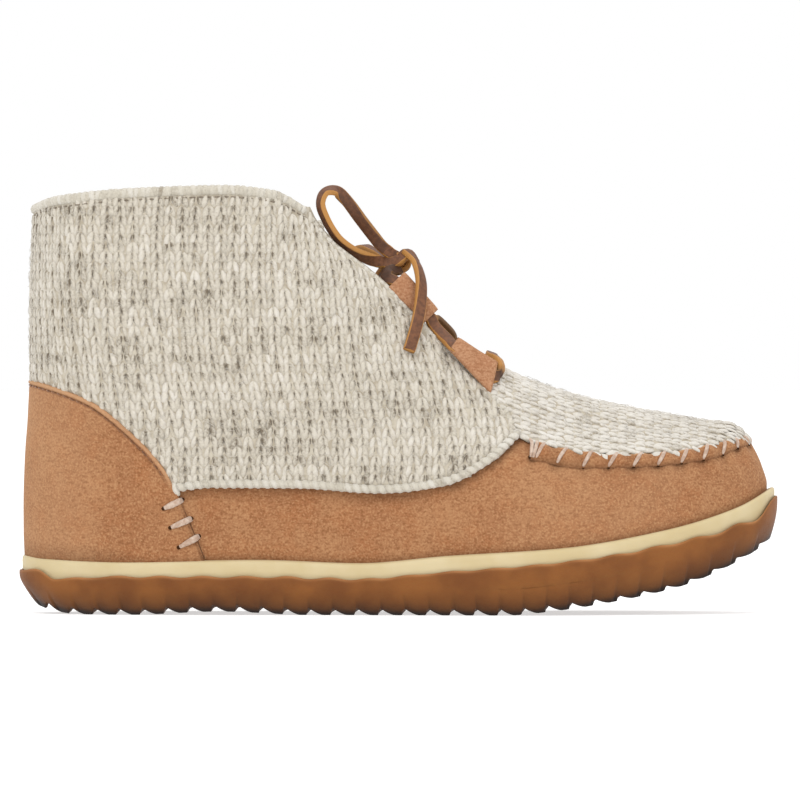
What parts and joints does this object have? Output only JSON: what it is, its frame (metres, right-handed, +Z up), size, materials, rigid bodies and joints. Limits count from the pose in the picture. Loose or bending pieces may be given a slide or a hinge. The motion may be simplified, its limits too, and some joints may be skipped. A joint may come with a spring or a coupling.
{
  "type": "slipper bootie",
  "caption": "Ankle-high moccasin slipper for the right foot: suede and knit upper with a rolled collar, tied flat lace, cream midsole and lugged gum rubber outsole.",
  "frame": {"origin": "on the floor, in the middle of the shoe's length and width", "axes": "+X from heel to toe, -Y to the outer side of the foot, +Z up"},
  "size_m": [0.2637, 0.0943, 0.1486],
  "materials": {
    "gum_rubber": "satin gum rubber",
    "foam": "satin foam rubber",
    "lining": "brushed fabric",
    "suede": "napped suede",
    "knit": "marled wool knit",
    "lace_leather": "flat cut leather lace"
  },
  "bodies": {
    "root": {"outsole": "gum_rubber", "midsole": "foam", "insole": "lining", "upper": "suede", "apron": "knit", "moc_seam": "suede", "quarter": "knit", "heel_counter": "suede", "collar_band": "knit", "tongue": "knit", "lace_loop_outer_upper": "suede", "lace_loop_outer_lower": "suede", "lace_loop_inner_upper": "suede", "lace_loop_inner_lower": "suede", "lace_runs": "lace_leather", "lace_knot": "lace_leather", "lace_bow_outer": "lace_leather", "lace_bow_inner": "lace_leather", "lace_tail_outer": "lace_leather", "lace_tail_inner": "lace_leather"}
  },
  "joints": []
}
